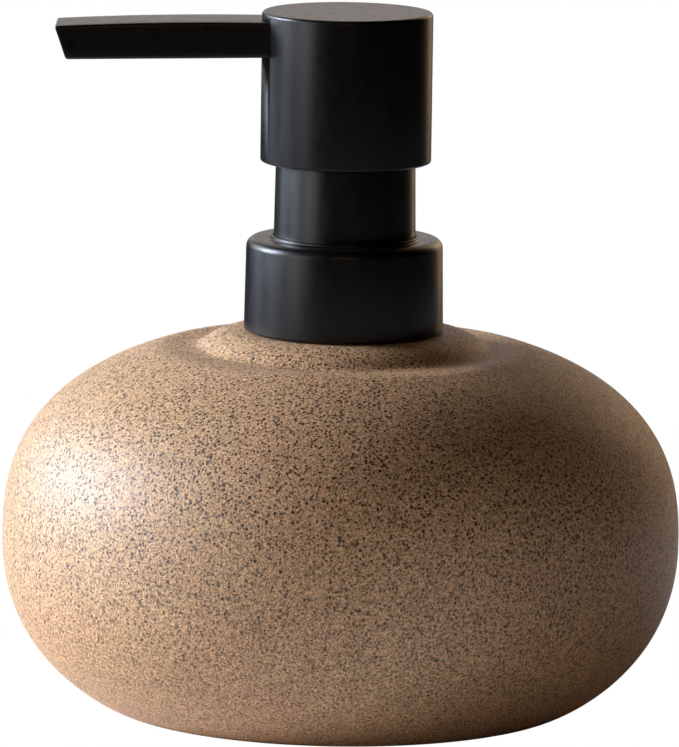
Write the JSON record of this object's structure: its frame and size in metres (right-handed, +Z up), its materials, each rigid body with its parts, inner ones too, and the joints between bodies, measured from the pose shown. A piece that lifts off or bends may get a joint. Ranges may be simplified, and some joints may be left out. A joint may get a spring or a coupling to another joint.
{
  "type": "soap pump dispenser",
  "caption": "Low round speckled stoneware soap bottle with a black screw-on lotion pump, a sliding round head and a flat drooping spout.",
  "frame": {"origin": "middle of the flat base, on the pump's axis", "axes": "+Z up along the pump's axis; -X is the way the spout points"},
  "size_m": [0.1204, 0.1204, 0.1235],
  "materials": {
    "stoneware": "matte, speckled",
    "black_plastic": "satin, fine grain",
    "natural_plastic": "satin, slightly translucent",
    "seal_plastic": "satin",
    "soft_rubber": "matte",
    "sealant": "matte",
    "spring_steel": "drawn wire",
    "ball_steel": "polished"
  },
  "bodies": {
    "bottle_body": {"bottle": "stoneware", "bond_ring": "sealant", "neck_insert": "natural_plastic"},
    "rim_seal": {"gasket": "soft_rubber"},
    "pump_core": {"housing": "natural_plastic", "chaplet": "natural_plastic", "stem_wiper": "soft_rubber", "return_spring": "spring_steel", "dip_tube": "natural_plastic"},
    "collar": {"screw_cap": "black_plastic", "collar_shell": "black_plastic", "neck_sleeve": "black_plastic"},
    "inlet_valve": {"inlet_ball": "ball_steel"},
    "piston": {"piston_seal": "seal_plastic"},
    "head": {"piston_rod": "natural_plastic", "stem": "natural_plastic", "head_core": "black_plastic", "nozzle_tube": "natural_plastic", "spout": "black_plastic", "head_shell": "black_plastic"},
    "outlet_valve": {"outlet_ball": "ball_steel"}
  },
  "joints": [
    {"name": "pump_lift_off", "type": "slide", "parent": "bottle_body", "child": "rim_seal", "axis": [0, 0, 1], "range_m": [0, 0.085]},
    {"name": "thread_rise", "type": "slide", "parent": "rim_seal", "child": "pump_core", "axis": [0, 0, 1], "range_m": [0, 0.00529]},
    {"name": "collar_turn", "type": "hinge", "parent": "pump_core", "child": "collar", "pos_m": [0, 0, 0.0753], "axis": [0, 0, 1], "range_deg": [0, 450]},
    {"name": "inlet_ball_lift", "type": "slide", "parent": "pump_core", "child": "inlet_valve", "axis": [0, 0, 1], "range_m": [0, 0.0012]},
    {"name": "pump_stroke", "type": "slide", "parent": "pump_core", "child": "piston", "axis": [0, 0, -1], "range_m": [0, 0.0125], "stiffness_N_per_m": 700, "springref_m": -0.008, "deforming": ["return_spring"]},
    {"name": "spout_swivel", "type": "hinge", "parent": "piston", "child": "head", "pos_m": [0, 0, 0.1103], "axis": [0, 0, 1], "continuous": true},
    {"name": "outlet_ball_lift", "type": "slide", "parent": "head", "child": "outlet_valve", "axis": [0, 0, 1], "range_m": [0, 0.0012]}
  ],
  "couplings": [
    {"joint": "collar_turn", "follows": "thread_rise", "rad_per_m": 1484.3}
  ]
}
